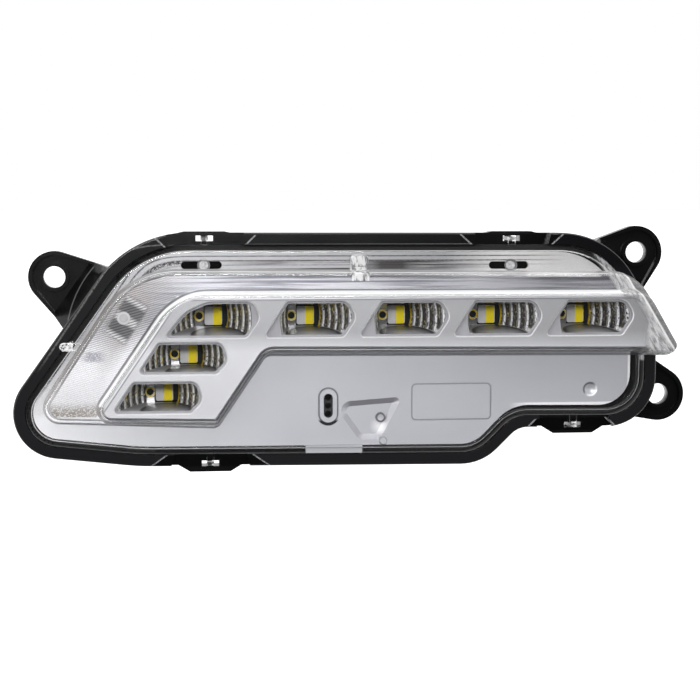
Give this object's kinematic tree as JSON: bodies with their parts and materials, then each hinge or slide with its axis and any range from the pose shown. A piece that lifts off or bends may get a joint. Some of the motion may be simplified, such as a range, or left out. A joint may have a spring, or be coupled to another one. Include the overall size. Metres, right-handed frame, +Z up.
{
  "type": "daytime running light",
  "caption": "Long boomerang-shaped lamp: clear stepped lens over a silver bezel with fluted mirror optics, in a black housing with fixing ears.",
  "frame": {"origin": "centre of the left ear's hole on the front face of its collar, which seats on the carrier", "axes": "+X to the right as the lamp is seen from the front, +Z up, front faces -Y"},
  "size_m": [0.2902, 0.0687, 0.1028],
  "materials": {
    "housing_plastic": "fine-grained black",
    "sealant": "matt",
    "clear_lens": "clear polished",
    "bezel_silver": "satin silver",
    "dark_insert": "matt black",
    "cup_plastic": "satin grey",
    "optic_mirror": "metallised, polished",
    "led_package": "matt white",
    "phosphor": "yellow",
    "board": "solder mask",
    "thermal_pad": "grey pad",
    "sink_metal": "cast",
    "screw_steel": "zinc plated",
    "cover_plastic": "fine-grained black",
    "seal_rubber": "matt",
    "contact_metal": "tin plated",
    "coil_ferrite": "dark ferrite",
    "capacitor_can": "drawn can",
    "chip_plastic": "moulded",
    "flex_film": "amber film",
    "cap_rubber": "soft matt"
  },
  "bodies": {
    "root": {"housing": "housing_plastic", "seal_bead": "sealant", "outer_lens": "clear_lens", "bezel": "bezel_silver", "vent_insert": "dark_insert", "cup_frame": "cup_plastic", "optic_1": "optic_mirror", "optic_2": "optic_mirror", "optic_3": "optic_mirror", "optic_4": "optic_mirror", "optic_5": "optic_mirror", "optic_6": "optic_mirror", "optic_7": "optic_mirror", "led_1": "led_package", "led_2": "led_package", "led_3": "led_package", "led_4": "led_package", "led_5": "led_package", "led_6": "led_package", "led_7": "led_package", "phosphor_1": "phosphor", "phosphor_2": "phosphor", "phosphor_3": "phosphor", "phosphor_4": "phosphor", "phosphor_5": "phosphor", "phosphor_6": "phosphor", "phosphor_7": "phosphor", "led_board": "board", "thermal_pad": "thermal_pad", "heat_sink": "sink_metal", "sink_screws": "screw_steel", "rear_cover": "cover_plastic", "cover_seal": "seal_rubber", "cover_screws": "screw_steel", "socket_pins": "contact_metal", "driver_board": "board", "driver_coil": "coil_ferrite", "driver_capacitors": "capacitor_can", "driver_chip": "chip_plastic", "flex_link": "flex_film", "vent_cap": "cap_rubber"}
  },
  "joints": []
}
